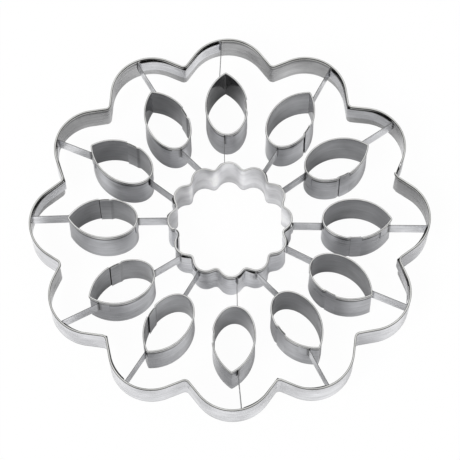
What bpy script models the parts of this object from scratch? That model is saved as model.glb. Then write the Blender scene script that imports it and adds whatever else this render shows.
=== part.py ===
"""Pie crust cutter: a scalloped outer ring, twelve leaf cutters and a small scalloped centre ring, all bent from
strips of thin steel and held together by twelve bent strip brackets.

The values below are millimetres and degrees; MM turns them into metres where a curve is made. +Z is up, the cutting
edges of the leaves stand on z = 0, and clock angles run clockwise from +Y, so crown 12 points along +Y.

Every piece starts as a curve that runs along the middle of the strip's wall and carries the strip's section. The
closed strips also have a lap joint, so they are joined with their tabs as meshes.
"""

import math

import bmesh
import bpy
import numpy as np

MM = 0.001
WELD = 0.001 * MM

PETALS = 12
STEP = 360.0 / PETALS

# The sheet, and the hem: every cutting strip is folded over at its upper edge, so that the rim is blunt. The wall
# leans just enough to bring the middle of the fold over the cutting edge.
SHEET = 0.4
RING_HEM_GAP = 0.5
LEAF_HEM_GAP = 0.25
HEM_DROP = 2.6
HEM_EASE = 0.45
FOLD_EASE = 0.3
CLEARANCE = 0.3

# Heights of the strips. All the rims are flush, so the leaves and the centre ring reach lower than the outer ring.
LEAF_HEIGHT = 33.0
RING_HEIGHT = 24.5
BRACKET_HEIGHT = 12.0

# Outer ring: radius over its crowns, how deep the notches are cut in, angle between a notch's radial line and its
# straight flanks, fillet in a notch, and the clock angle of the joint.
RING_CROWN = 130.1
RING_DEPTH = 17.0
RING_FLANK = 52.5
RING_FILLET = 3.2
RING_SEAM = 74.0

# How the crowns were bent, from crown 12 clockwise: how far each one stands out, and its turn about the origin.
CROWN_RISE = (0.0, -0.5, -0.5, 0.0, -1.0, 0.0, 0.0, -0.5, 0.0, 0.0, -1.5, 0.0)
CROWN_TURN = (0.0, 0.0, 0.0, -0.3, -0.2, 0.3, -0.2, 0.0, 0.6, -0.3, 0.6, 0.6)

# Centre ring, in the same order. Its crowns are even, and the whole ring is turned a little.
CENTRE_CROWN = 40.2
CENTRE_DEPTH = 5.2
CENTRE_FLANK = 55.0
CENTRE_FILLET = 3.0
CENTRE_SEAM = 259.0
CENTRE_TURN = -0.5

# Leaf cutters: radius to their middle, length, width, length of the round inner end up to the widest point, and how
# far past that point the joint lies.
LEAF_RADIUS = 82.75
LEAF_LENGTH = 44.7
LEAF_WIDTH = 27.3
LEAF_ROUND = 20.3
LEAF_SEAM = 2.3

# How each leaf was welded on, from leaf 12 (along +Y) clockwise: its turn, and its shift along the circle.
LEAF_TURN = (-1.0, 3.5, 6.5, 1.0, 1.5, -5.0, 4.0, 4.5, 6.0, 1.5, -0.5, 4.0)
LEAF_SHIFT = (-1.2, 0.5, -1.4, 0.7, 0.3, -1.9, -1.3, -0.3, -2.4, 1.8, 1.4, 0.3)

# Lap joints: the hem is notched away at both ends of a strip, over one length, and the plain tabs left there lie on
# each other. The start's tab is set in by a ramp, so that it lies inside. Each tab ends short of the other end's hem,
# and is pressed a little thinner than the wall.
LAP_LENGTH = 7.5
LAP_RAMP = 4.0
LAP_INNER_GAP = 0.6
LAP_OUTER_GAP = 1.8
LAP_PRESS = 0.03
LAP_ROOT = 1.0

# Brackets: each one joins two neighbouring leaves to a ring. A spoke is given by how far it lies beside its leaf's
# radial line, clockwise positive: an outer spoke at the leaf and at the ring, an inner one at the centre ring and at
# the leaf. Both lists start at leaf 12.
OUTER_SPOKES = (
    (-5.5, -4.0),
    (5.0, 4.5),
    (-4.0, -5.5),
    (4.5, 5.0),
    (-2.5, -5.0),
    (2.0, 3.5),
    (-4.0, -6.0),
    (3.0, 4.5),
    (-6.0, -4.5),
    (5.0, 4.5),
    (-2.5, -5.5),
    (5.0, 5.0),
)
INNER_SPOKES = (
    (-3.0, -3.0),
    (1.5, 2.5),
    (-2.0, -4.0),
    (2.0, 2.5),
    (-2.5, -3.0),
    (3.5, -1.5),
    (-4.0, -4.0),
    (0.5, 1.0),
    (-4.5, -5.0),
    (2.5, 2.5),
    (-3.0, 0.0),
    (3.0, -2.0),
)
OUTER_TAB = 7.0
INNER_TAB = 6.0

# Points on a quarter of each curve.
RING_ARC_POINTS = 5
CENTRE_ARC_POINTS = 4
RING_FILLET_POINTS = 5
CENTRE_FILLET_POINTS = 4
LEAF_ROUND_POINTS = 7
LEAF_BOW_POINTS = 6
SHORTEST_EDGE = 0.25

# Worked out from the values above.
RIM_Z = LEAF_HEIGHT
RING_BOTTOM_Z = RIM_Z - RING_HEIGHT
BRACKET_TOP_Z = RIM_Z - HEM_DROP - CLEARANCE
BRACKET_BOTTOM_Z = BRACKET_TOP_Z - BRACKET_HEIGHT
RING_LEAN = (SHEET + RING_HEM_GAP) / 2
LEAF_LEAN = (SHEET + LEAF_HEM_GAP) / 2
STANDOFF = SHEET + CLEARANCE
LEAF_INNER = LEAF_RADIUS - LEAF_LENGTH / 2
LEAF_TIP = LEAF_RADIUS + LEAF_LENGTH / 2
EVEN = (0.0,) * PETALS


def heading(clock):
    """The unit vector towards a clock angle."""
    angle = math.radians(clock)
    return np.array([math.sin(angle), math.cos(angle)])


def turned(points, clock):
    """The points turned clockwise about the origin."""
    angle = math.radians(clock)
    x, y = np.asarray(points, float).T
    return np.stack(
        [x * math.cos(angle) + y * math.sin(angle), y * math.cos(angle) - x * math.sin(angle)], -1
    )


def bend(centre, start, end, count):
    """Points of an arc about a centre, from one point to another the short way round."""
    first, last = start - centre, end - centre
    angle = math.atan2(first[1], first[0])
    sweep = (math.atan2(last[1], last[0]) - angle + math.pi) % (2 * math.pi) - math.pi
    angles = np.linspace(angle, angle + sweep, count)
    return centre + np.hypot(*first) * np.stack([np.cos(angles), np.sin(angles)], -1)


def crown_radius(crown, depth, flank):
    """Radius of the arc that runs over an even crown and into its straight flanks."""
    inward = heading(STEP / 2 - flank - 90.0)
    reach = crown * heading(0.0) - (crown - depth) * heading(STEP / 2)
    return float(reach @ inward) / (1 + inward[1])


def touch(corner, centre, radius, side):
    """Where the flank from a notch's corner meets the arc of its crown."""
    reach = corner - centre
    angle = math.atan2(reach[1], reach[0]) + side * math.acos(radius / np.hypot(*reach))
    return centre + radius * np.array([math.cos(angle), math.sin(angle)])


def notch(corner, before, after, fillet, count):
    """Fillet in a notch between two flanks, or the bare corner where there is no fillet."""
    if not fillet:
        return np.array([corner])
    one = (before - corner) / np.hypot(*(before - corner))
    two = (after - corner) / np.hypot(*(after - corner))
    half = math.acos(float(one @ two)) / 2
    middle = corner + (one + two) / np.hypot(*(one + two)) * fillet / math.sin(half)
    reach = fillet / math.tan(half)
    return bend(middle, corner + one * reach, corner + two * reach, count)


def scallop(crown, depth, flank, fillet, rises, turns, arc_points, fillet_points):
    """Closed clockwise outline of round crowns with notches between them, from the left flank of crown 12."""
    radius = crown_radius(crown, depth, flank)
    centres = []
    corners = []
    for petal in range(PETALS):
        following = (petal + 1) % PETALS
        rise = (rises[petal] + rises[following]) / 2
        turn = (turns[petal] + turns[following]) / 2
        centres.append((crown + rises[petal] - radius) * heading(STEP * petal + turns[petal]))
        corners.append((crown + rise - depth) * heading(STEP * (petal + 0.5) + turn))
    lefts = [touch(corners[petal - 1], centres[petal], radius, -1) for petal in range(PETALS)]
    rights = [touch(corners[petal], centres[petal], radius, 1) for petal in range(PETALS)]
    outline = []
    for petal, centre in enumerate(centres):
        top = centre * (1 + radius / np.hypot(*centre))
        outline.append(bend(centre, lefts[petal], top, arc_points)[:-1])
        outline.append(bend(centre, top, rights[petal], arc_points))
        following = lefts[(petal + 1) % PETALS]
        outline.append(notch(corners[petal], rights[petal], following, fillet, fillet_points))
    return np.vstack(outline)


def ring_outline(fillet):
    return scallop(
        RING_CROWN, RING_DEPTH, RING_FLANK, fillet, CROWN_RISE, CROWN_TURN, RING_ARC_POINTS, RING_FILLET_POINTS
    )


def centre_outline():
    even = scallop(
        CENTRE_CROWN, CENTRE_DEPTH, CENTRE_FLANK, CENTRE_FILLET, EVEN, EVEN, CENTRE_ARC_POINTS, CENTRE_FILLET_POINTS
    )
    return turned(even, CENTRE_TURN)


def leaf_outline():
    """Closed clockwise outline of a leaf about its middle: up the left side, over the tip, down the right side.

    The inner end is half an ellipse, and from the widest point an arc runs on to the tip.
    """
    half = LEAF_WIDTH / 2
    rest = LEAF_LENGTH - LEAF_ROUND
    radius = (rest**2 + half**2) / (2 * half)
    turn = np.linspace(0, math.pi / 2, LEAF_ROUND_POINTS)
    bow = np.linspace(0, math.asin(rest / radius), LEAF_BOW_POINTS)[1:]
    lengthwise = np.concatenate([LEAF_ROUND * (1 - np.cos(turn)), LEAF_ROUND + radius * np.sin(bow)])
    across = np.concatenate([half * np.sin(turn), half - radius * (1 - np.cos(bow))])
    left = np.stack([-across, lengthwise - LEAF_LENGTH / 2], -1)
    right = (left * [-1, 1])[::-1][1:-1]
    return np.vstack([left, right])


def leaf_place(number):
    """Where a leaf's middle goes, and its clock angle."""
    place = turned([[LEAF_SHIFT[number], LEAF_RADIUS]], STEP * number)[0]
    return place, STEP * number + LEAF_TURN[number]


def placed_leaf(number):
    place, clock = leaf_place(number)
    return turned(leaf_outline(), clock) + place


def mitres(path):
    """For each point of an open path, the vector that one unit of offset to its left moves it by."""
    steps = np.diff(path, axis=0)
    steps /= np.linalg.norm(steps, axis=1)[:, None]
    left = np.stack([-steps[:, 1], steps[:, 0]], -1)
    before = np.vstack([left[:1], left])
    after = np.vstack([left, left[-1:]])
    return (before + after) / (1 + (before * after).sum(1))[:, None]


def offset(outline, distance):
    """A closed clockwise outline moved outwards."""
    looped = np.vstack([outline[-1:], outline, outline[:1]])
    return outline + mitres(looped)[1:-1] * distance


def walked(path):
    """The length walked at each point of an open path."""
    return np.concatenate([[0.0], np.cumsum(np.linalg.norm(np.diff(path, axis=0), axis=1))])


def girth(outline):
    """The length walked once round a closed outline."""
    return float(walked(np.vstack([outline, outline[:1]]))[-1])


def run_at(outline, clock):
    """The length walked along a closed outline about the origin, from its first point to a clock angle."""
    clocks = np.degrees(np.unwrap(np.arctan2(outline[:, 0], outline[:, 1])))
    return float(np.interp(clock, clocks, walked(outline)))


def stretch(outline, seam, start, end):
    """Open path along a closed outline between two lengths walked from its seam.

    At the seam and before it the path is set inwards, and the ramp after it leads back to the outline.
    """
    looped = np.tile(outline, (3, 1))
    run = walked(looped) - girth(outline) - seam
    normal = mitres(looped)
    marks = [mark for mark in (*run, 0.0, LAP_RAMP) if start < mark < end - SHORTEST_EDGE]
    path = []
    last = start - 2 * SHORTEST_EDGE
    for mark in sorted([start, *marks, end]):
        if mark - last < SHORTEST_EDGE:
            continue
        here = np.array([np.interp(mark, run, looped[:, axis]) for axis in (0, 1)])
        side = np.array([np.interp(mark, run, normal[:, axis]) for axis in (0, 1)])
        path.append(here - side * STANDOFF * np.clip(1 - mark / LAP_RAMP, 0.0, 1.0))
        last = mark
    return np.array(path)


def crossing(outline, number, spoke, span, far):
    """Where a spoke's line meets a closed outline: the point, and the number of the outline's edge."""
    own = turned(outline, -STEP * number)
    lean = (spoke[1] - spoke[0]) / (span[1] - span[0])
    beside = own[:, 0] - spoke[0] - lean * (own[:, 1] - span[0])
    found = []
    for i, point in enumerate(own):
        j = (i + 1) % len(own)
        if beside[i] * beside[j] > 0 or beside[i] == beside[j]:
            continue
        meet = point + beside[i] / (beside[i] - beside[j]) * (own[j] - point)
        if meet[1] > 0:
            found.append((float(meet[1]), i, meet))
    _, edge, meet = max(found)[:3] if far else min(found)[:3]
    return turned([meet], STEP * number)[0], edge


def along(outline, point, edge, step, length):
    """The points of a tab that runs from a point on an outline's edge, forwards or backwards, for a length."""
    points = [point]
    index = edge + 1 if step > 0 else edge
    left = length
    while True:
        target = outline[index % len(outline)]
        gap = float(np.hypot(*(target - points[-1])))
        if gap >= left:
            points.append(points[-1] + (target - points[-1]) * left / gap)
            return points[1:]
        if gap > SHORTEST_EDGE:
            points.append(target)
            left -= gap
        index += step


def between(outline, first, last):
    """The outline's points from one edge to a later one, clockwise."""
    count = len(outline)
    stop = last if last > first else last + count
    return [outline[i % count] for i in range(first + 1, stop + 1)]


def lean_at(height, bottom, lean):
    """How far a leaning wall has moved away from its path at a height."""
    return lean * (height - bottom) / (RIM_Z - bottom)


def bracket_path(first, wall, spokes, span, far, tab):
    """Tab on a leaf, spoke, run along a ring's wall over one notch, spoke, tab on the next leaf."""
    one, two = first % PETALS, (first + 1) % PETALS
    ring_one, edge_one = crossing(wall, one, spokes[one], span, True)
    ring_two, edge_two = crossing(wall, two, spokes[two], span, True)
    seat = STANDOFF - lean_at(BRACKET_BOTTOM_Z, 0.0, LEAF_LEAN)
    leaf_one = offset(placed_leaf(one), seat)
    leaf_two = offset(placed_leaf(two), seat)
    foot_one, foot_edge_one = crossing(leaf_one, one, spokes[one], span, far)
    foot_two, foot_edge_two = crossing(leaf_two, two, spokes[two], span, far)
    points = [
        *along(leaf_one, foot_one, foot_edge_one, 1, tab)[::-1],
        foot_one,
        ring_one,
        *between(wall, edge_one, edge_two),
        ring_two,
        foot_two,
        *along(leaf_two, foot_two, foot_edge_two, -1, tab),
    ]
    kept = [points[0]]
    for point in points[1:]:
        if np.hypot(*(point - kept[-1])) > SHORTEST_EDGE:
            kept.append(point)
    return np.array(kept)


def outer_bracket_path(first):
    """Along the inside of the outer ring. The bracket has one sharp crease where the ring's notch is rounded."""
    seat = STANDOFF - lean_at(BRACKET_BOTTOM_Z, RING_BOTTOM_Z, RING_LEAN)
    wall = offset(ring_outline(0.0), -seat)
    return bracket_path(first, wall, OUTER_SPOKES, (LEAF_TIP, RING_CROWN), True, OUTER_TAB)


def inner_bracket_path(first):
    """Along the outside of the centre ring."""
    seat = STANDOFF - lean_at(BRACKET_BOTTOM_Z, 0.0, RING_LEAN)
    wall = offset(centre_outline(), seat)
    return bracket_path(first, wall, INNER_SPOKES, (CENTRE_CROWN, LEAF_INNER), False, INNER_TAB)


def steel(name, shade, roughness):
    """Bare stainless sheet of one brightness."""
    material = bpy.data.materials.new(name)
    material.use_nodes = True
    shader = material.node_tree.nodes["Principled BSDF"]
    shader.inputs["Base Color"].default_value = (shade, shade, shade * 1.02, 1.0)
    shader.inputs["Metallic"].default_value = 1.0
    shader.inputs["Roughness"].default_value = roughness
    return material


def line(name, points, closed):
    """A flat curve through the points."""
    data = bpy.data.curves.new(name, "CURVE")
    data.dimensions = "2D"
    data.fill_mode = "NONE"
    spline = data.splines.new("POLY")
    spline.points.add(len(points) - 1)
    for slot, (x, y) in zip(spline.points, points):
        slot.co = (x * MM, y * MM, 0.0, 1.0)
    spline.use_cyclic_u = closed
    return data


def guide(name, points, group):
    """A section to sweep, kept out of the picture. Its x is across the strip, positive to the path's right."""
    node = bpy.data.objects.new(name, line(name, points, True))
    node.hide_render = True
    node.display_type = "WIRE"
    group.objects.link(node)
    return node


def leaning(points, side, bottom, lean):
    """A section's points with the lean, for a hem to the right of the path (side 1) or to its left (side -1)."""
    return [(side * (across - lean_at(height, bottom, lean)), height) for across, height in points[::side]]


def hemmed_section(side, bottom, gap, lean):
    """Wall, and hem folded over."""
    half = SHEET / 2
    flap = half + gap
    back = flap + SHEET
    fold = RIM_Z - SHEET - HEM_EASE / 2
    points = [
        (-half, bottom),
        (-half, RIM_Z - HEM_EASE),
        (-half + FOLD_EASE, RIM_Z),
        (back - FOLD_EASE, RIM_Z),
        (back, RIM_Z - HEM_EASE),
        (back, RIM_Z - HEM_DROP),
        (flap, RIM_Z - HEM_DROP),
        (flap, fold),
        (half, fold),
        (half, bottom),
    ]
    return leaning(points, side, bottom, lean)


def tab_section(side, bottom, lean):
    """The plain tab in line with a hemmed strip's wall."""
    half = SHEET / 2 - LAP_PRESS
    foot = bottom + LAP_PRESS
    top = RIM_Z - HEM_EASE
    return leaning([(-half, foot), (-half, top), (half, top), (half, foot)], side, bottom, lean)


def bracket_section():
    half = SHEET / 2
    return [
        (-half, BRACKET_BOTTOM_Z),
        (-half, BRACKET_TOP_Z),
        (half, BRACKET_TOP_Z),
        (half, BRACKET_BOTTOM_Z),
    ]


def strip_curve(name, path, section, material):
    """The curve of a strip: its path, the section that it carries, and its ends closed."""
    data = line(name, path, False)
    data.bevel_mode = "OBJECT"
    data.bevel_object = section
    data.use_fill_caps = True
    data.materials.append(material)
    return data


def as_mesh(data, group):
    """A mesh object made from a curve, with its caps welded on."""
    curve = bpy.data.objects.new(data.name, data)
    group.objects.link(curve)
    mesh = bpy.data.meshes.new_from_object(curve.evaluated_get(bpy.context.evaluated_depsgraph_get()))
    bpy.data.objects.remove(curve, do_unlink=True)
    shape = bmesh.new()
    shape.from_mesh(mesh)
    bmesh.ops.remove_doubles(shape, verts=shape.verts, dist=WELD)
    shape.to_mesh(mesh)
    shape.free()
    node = bpy.data.objects.new(data.name, mesh)
    group.objects.link(node)
    return node


def lapped_strip(name, outline, seam, hemmed, plain, material, group):
    """The mesh of a hemmed strip that runs once round an outline, joined with the tabs at its two ends."""
    total = girth(outline)
    stretches = [
        (name, hemmed, 0.0, total - LAP_LENGTH),
        (f"{name}_start_tab", plain, LAP_INNER_GAP - LAP_LENGTH, LAP_ROOT),
        (f"{name}_end_tab", plain, total - LAP_LENGTH - LAP_ROOT, total - LAP_OUTER_GAP),
    ]
    nodes = []
    for label, section, first, last in stretches:
        path = stretch(outline, seam, first, last)
        nodes.append(as_mesh(strip_curve(label, path, section, material), group))
    for tab in nodes[1:]:
        join = nodes[0].modifiers.new(tab.name, "BOOLEAN")
        join.operation = "UNION"
        join.object = tab
    mesh = bpy.data.meshes.new_from_object(nodes[0].evaluated_get(bpy.context.evaluated_depsgraph_get()))
    for node in nodes:
        bpy.data.objects.remove(node, do_unlink=True)
    mesh.shade_smooth()
    mesh.set_sharp_from_angle(angle=math.radians(30))
    return mesh


def piece(name, data, root, group):
    node = bpy.data.objects.new(name, data)
    node.parent = root
    group.objects.link(node)
    return node


def build():
    for old in list(bpy.data.objects):
        bpy.data.objects.remove(old, do_unlink=True)
    group = bpy.data.collections.new("pie_crust_cutter")
    guides = bpy.data.collections.new("sections")
    for collection in (group, guides):
        bpy.context.scene.collection.children.link(collection)
    root = bpy.data.objects.new("cutter", None)
    group.objects.link(root)

    ring_hem = guide("ring_section", hemmed_section(1, RING_BOTTOM_Z, RING_HEM_GAP, RING_LEAN), guides)
    ring_tab = guide("ring_tab_section", tab_section(1, RING_BOTTOM_Z, RING_LEAN), guides)
    centre_hem = guide("centre_section", hemmed_section(-1, 0.0, RING_HEM_GAP, RING_LEAN), guides)
    centre_tab = guide("centre_tab_section", tab_section(-1, 0.0, RING_LEAN), guides)
    leaf_hem = guide("leaf_section", hemmed_section(-1, 0.0, LEAF_HEM_GAP, LEAF_LEAN), guides)
    leaf_tab = guide("leaf_tab_section", tab_section(-1, 0.0, LEAF_LEAN), guides)
    plain = guide("bracket_section", bracket_section(), guides)

    ring = ring_outline(RING_FILLET)
    ring_mesh = lapped_strip(
        "outer_ring", ring, run_at(ring, RING_SEAM), ring_hem, ring_tab, steel("ring_steel", 0.80, 0.30), guides
    )
    piece("outer_ring", ring_mesh, root, group)

    centre = centre_outline()
    centre_mesh = lapped_strip(
        "centre_ring",
        centre,
        run_at(centre, CENTRE_SEAM),
        centre_hem,
        centre_tab,
        steel("centre_steel", 0.72, 0.40),
        guides,
    )
    piece("centre_ring", centre_mesh, root, group)

    leaf = leaf_outline()
    widest = len(leaf) - LEAF_ROUND_POINTS + 1
    leaf_seam = float(walked(leaf)[widest]) + LEAF_SEAM
    leaf_mesh = lapped_strip(
        "leaf_cutter", leaf, leaf_seam, leaf_hem, leaf_tab, steel("leaf_steel", 0.66, 0.33), guides
    )
    for number in range(PETALS):
        node = piece(f"leaf_cutter_{number or PETALS:02d}", leaf_mesh, root, group)
        place, clock = leaf_place(number)
        node.location = (place[0] * MM, place[1] * MM, 0.0)
        node.rotation_euler.z = -math.radians(clock)

    bracket_steel = steel("bracket_steel", 0.66, 0.35)
    for number, first in enumerate(range(1, PETALS, 2), 1):
        for kind, path in (("outer", outer_bracket_path(first)), ("inner", inner_bracket_path(first))):
            name = f"{kind}_bracket_{number}"
            piece(name, strip_curve(name, path, plain, bracket_steel), root, group)


build()
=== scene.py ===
"""Looks of the pie crust cutter in satin stainless steel: rolled hems, lap joints, bent brackets, spot welds.

Each strip of the frame is replaced by a fine one of the same size and place. Lengths are millimetres until a
mesh is made, angles are degrees, and clock angles run clockwise from +Y, where leaf 12 and crown 12 lie.
"""

from __future__ import annotations

import logging
import math
from dataclasses import dataclass, field
from enum import Enum
from typing import NamedTuple

import bmesh
import bpy
import numpy as np
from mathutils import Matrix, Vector

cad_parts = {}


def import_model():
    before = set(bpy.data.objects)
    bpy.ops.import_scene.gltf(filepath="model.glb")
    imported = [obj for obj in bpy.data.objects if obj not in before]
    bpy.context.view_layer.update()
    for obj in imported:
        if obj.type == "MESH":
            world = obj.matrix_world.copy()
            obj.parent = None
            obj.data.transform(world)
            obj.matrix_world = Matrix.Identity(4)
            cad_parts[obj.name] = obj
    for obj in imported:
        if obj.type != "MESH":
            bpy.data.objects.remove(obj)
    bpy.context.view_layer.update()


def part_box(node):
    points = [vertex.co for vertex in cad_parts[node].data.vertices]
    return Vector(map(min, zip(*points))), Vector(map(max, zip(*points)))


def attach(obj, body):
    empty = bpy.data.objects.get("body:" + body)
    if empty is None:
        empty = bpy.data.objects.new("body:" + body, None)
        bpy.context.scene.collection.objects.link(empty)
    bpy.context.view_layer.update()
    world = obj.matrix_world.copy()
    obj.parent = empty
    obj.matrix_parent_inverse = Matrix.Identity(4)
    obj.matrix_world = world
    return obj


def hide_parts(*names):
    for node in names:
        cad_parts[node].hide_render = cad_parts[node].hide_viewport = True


LOG = logging.getLogger("pie_crust_cutter")
MM = 0.001  # metres
CM = 10.0  # millimetres
BODY = "root"
PETALS = 12
STEP = 360.0 / PETALS
EVEN = (0.0,) * PETALS
MOST_OF_LEG = 0.45  # share of a straight that a bend at its end may take
NOTCH_DETAIL = 3  # how much closer the points of a notch lie
SHARP_ANGLE = 30.0
WELD_HEIGHTS = (0.25, 0.72)  # shares of the wall's height at which a lap is welded
WELD_DISC = (0.105, 0.13)  # radii in centimetres between which a weld's edge slopes
WELD_DEPTH = 2.5
GRAIN_STRETCH = (0.28, 5.0, 1.0)  # grains to a centimetre, along the strip and round it
GRAIN_TINT = 2.0
PAINTED_SHADE_TINT = 0.88  # share of the shade colour that full painted shade takes away

Array = np.ndarray


class Hem(Enum):
    """The side of the wall that its upper edge is folded to. Outlines run clockwise, so right is inwards."""

    NONE = 0
    INWARD = 1
    OUTWARD = -1


class Side(Enum):
    """What a stretch of a strip's section shows, by the place of its material."""

    OUTER = 0
    INNER = 1
    RIM = 2
    # Faces inside the hem's fold and behind other sheets, given a near-black painted shadow.
    SHADOWED_CREVICE = 3
    TAB = 4


class Spot(NamedTuple):
    """A point of a strip's section, what the stretch from it to the next one shows, and how dark its painted
    shade is.
    """

    across: float
    height: float
    side: Side
    grime: float = 0.0


class ShadePatch(NamedTuple):
    """A patch of painted shade on one face of a strip, darkest at one run and fading to both sides of it."""

    run: float
    reach: float
    most: float
    side: Side

    def depth(self, run: float) -> float:
        """Gives how dark the painted shade is at a run."""
        share = max(0.0, 1 - abs(run - self.run) / self.reach)
        return self.most * share * (2 - share)


class Back(NamedTuple):
    """A stretch of a strip, in its own run, where one of its faces has another material, by default painted
    shadow.
    """

    start: float
    end: float
    side: Side
    shown: Side = Side.SHADOWED_CREVICE


def heading(clock: float) -> Array:
    """Gives the unit vector towards a clock angle."""
    angle = math.radians(clock)
    return np.array([math.sin(angle), math.cos(angle)])


def turned(points: Array, clock: float) -> Array:
    """Turns plan points clockwise about the origin.

    Args:
        points: Plan points, one a row.
        clock: The angle in degrees.

    Returns:
        The turned points.
    """
    angle = math.radians(clock)
    x, y = np.asarray(points, float).T
    return np.stack(
        [x * math.cos(angle) + y * math.sin(angle), y * math.cos(angle) - x * math.sin(angle)], -1
    )


def bend(centre: Array, start: Array, end: Array, pitch: float) -> Array:
    """Gives the points of an arc about a centre, from one point to another the short way round.

    Args:
        centre: Middle of the arc.
        start: Its first point.
        end: Its last point.
        pitch: About how far apart the points lie.

    Returns:
        The points, both ends among them.
    """
    first, last = start - centre, end - centre
    radius = float(np.hypot(*first))
    angle = math.atan2(first[1], first[0])
    sweep = (math.atan2(last[1], last[0]) - angle + math.pi) % (2 * math.pi) - math.pi
    angles = np.linspace(angle, angle + sweep, max(3, round(abs(sweep) * radius / pitch) + 1))
    return centre + radius * np.stack([np.cos(angles), np.sin(angles)], -1)


def run_lengths(points: Array) -> Array:
    """Gives the length walked at each point of an open path."""
    return np.concatenate([[0.0], np.cumsum(np.linalg.norm(np.diff(points, axis=0), axis=1))])


def girth(outline: Array) -> float:
    """Gives the length walked once round a closed outline."""
    return float(run_lengths(np.vstack([outline, outline[:1]]))[-1])


def resampled(points: Array, pitch: float) -> Array:
    """Spaces points evenly along an open path.

    Args:
        points: The path.
        pitch: About how far apart the new points lie.

    Returns:
        The new points, both ends among them.
    """
    run = run_lengths(points)
    marks = np.linspace(0.0, run[-1], max(2, round(run[-1] / pitch) + 1))
    return np.stack([np.interp(marks, run, points[:, axis]) for axis in (0, 1)], -1)


def mitres(path: Array) -> Array:
    """Gives the vectors that an offset of one unit to the left moves a path's points by.

    Args:
        path: The open path.

    Returns:
        The vectors, one a row.
    """
    steps = np.diff(path, axis=0)
    steps /= np.linalg.norm(steps, axis=1)[:, None]
    left = np.stack([-steps[:, 1], steps[:, 0]], -1)
    before = np.vstack([left[:1], left])
    after = np.vstack([left, left[-1:]])
    return (before + after) / (1 + (before * after).sum(1))[:, None]


def offset(outline: Array, distance: float) -> Array:
    """Moves a closed clockwise outline outwards."""
    looped = np.vstack([outline[-1:], outline, outline[:1]])
    return outline + mitres(looped)[1:-1] * distance


def rounded(path: Array, radii: Array, least_turn: float, steps: int) -> Array:
    """Rounds the sharp bends of an open path.

    Args:
        path: The path.
        radii: Bend radius at each of its points.
        least_turn: The angle in degrees from which a bend is rounded.
        steps: Points in each bend.

    Returns:
        The path with an arc at each sharp bend.
    """
    points = [path[0]]
    for before, here, after, radius in zip(path, path[1:], path[2:], radii[1:]):
        one = (before - here) / np.linalg.norm(before - here)
        two = (after - here) / np.linalg.norm(after - here)
        turn = math.pi - math.acos(float(np.clip(one @ two, -1, 1)))
        if math.degrees(turn) < least_turn:
            points.append(here)
            continue
        reach = min(
            radius * math.tan(turn / 2),
            float(np.linalg.norm(before - here)) * MOST_OF_LEG,
            float(np.linalg.norm(after - here)) * MOST_OF_LEG,
        )
        start, end = here + one * reach, here + two * reach
        for share in np.linspace(0, 1, steps):
            points.append((1 - share) ** 2 * start + 2 * share * (1 - share) * here + share**2 * end)
    points.append(path[-1])
    return np.array(points)


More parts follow.
